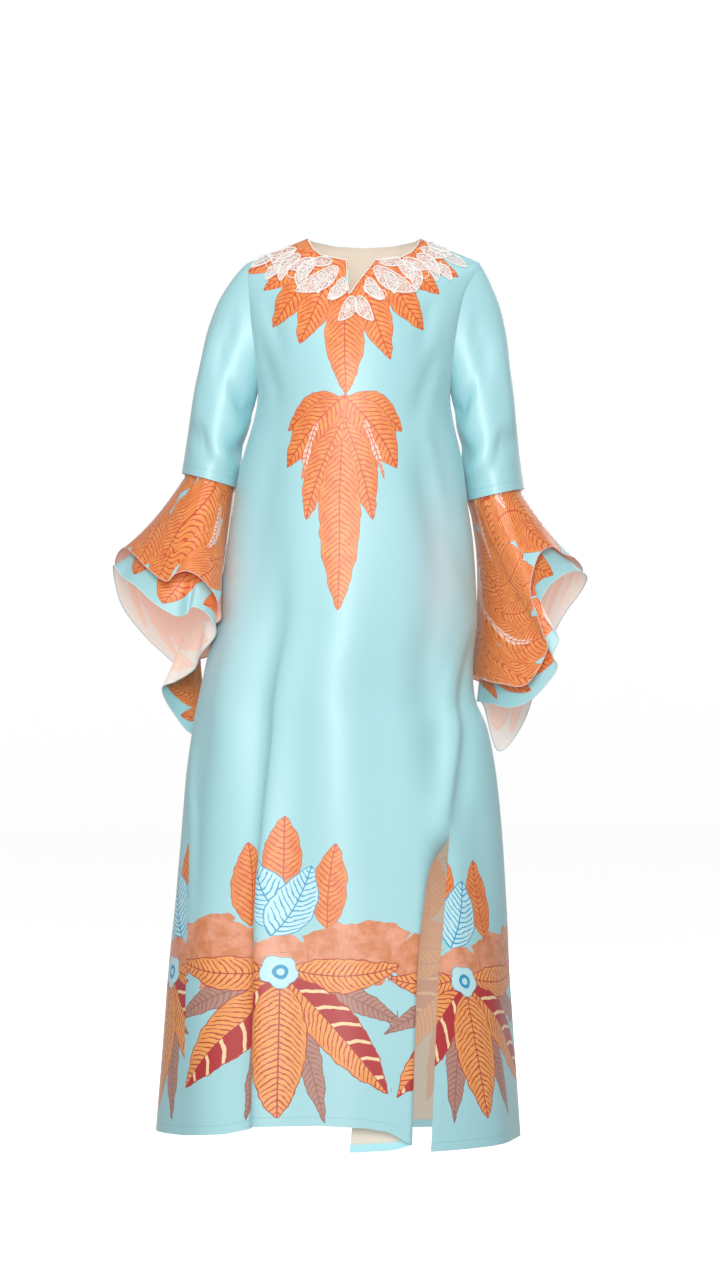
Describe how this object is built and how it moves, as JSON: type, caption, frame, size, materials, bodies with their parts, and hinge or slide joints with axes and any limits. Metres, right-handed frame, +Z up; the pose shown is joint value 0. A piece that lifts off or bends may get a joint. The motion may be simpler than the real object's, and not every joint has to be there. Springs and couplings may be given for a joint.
{
  "type": "kaftan dress",
  "caption": "Long A-line kaftan dress with a notched round neck, elbow sleeves, two flounces per sleeve and a side slit.",
  "frame": {"origin": "between the two points where the neckline meets the shoulder seams, where the wearer's shoulders hold the dress", "axes": "+Z up, +X to the wearer's left, -Y to the front"},
  "size_m": [0.735, 0.4141, 1.401],
  "materials": {
    "satin": "heavy duchess satin, soft sheen",
    "printed_satin": "heavy duchess satin with a leaf print",
    "lace": "corded lace with small beads"
  },
  "bodies": {
    "root": {"front_panel": "satin", "back_panel": "satin", "sleeve_right": "satin", "sleeve_left": "satin", "flounce_upper_right": "printed_satin", "flounce_lower_right": "printed_satin", "flounce_upper_left": "printed_satin", "flounce_lower_left": "printed_satin", "neck_lace": "lace"}
  },
  "joints": []
}
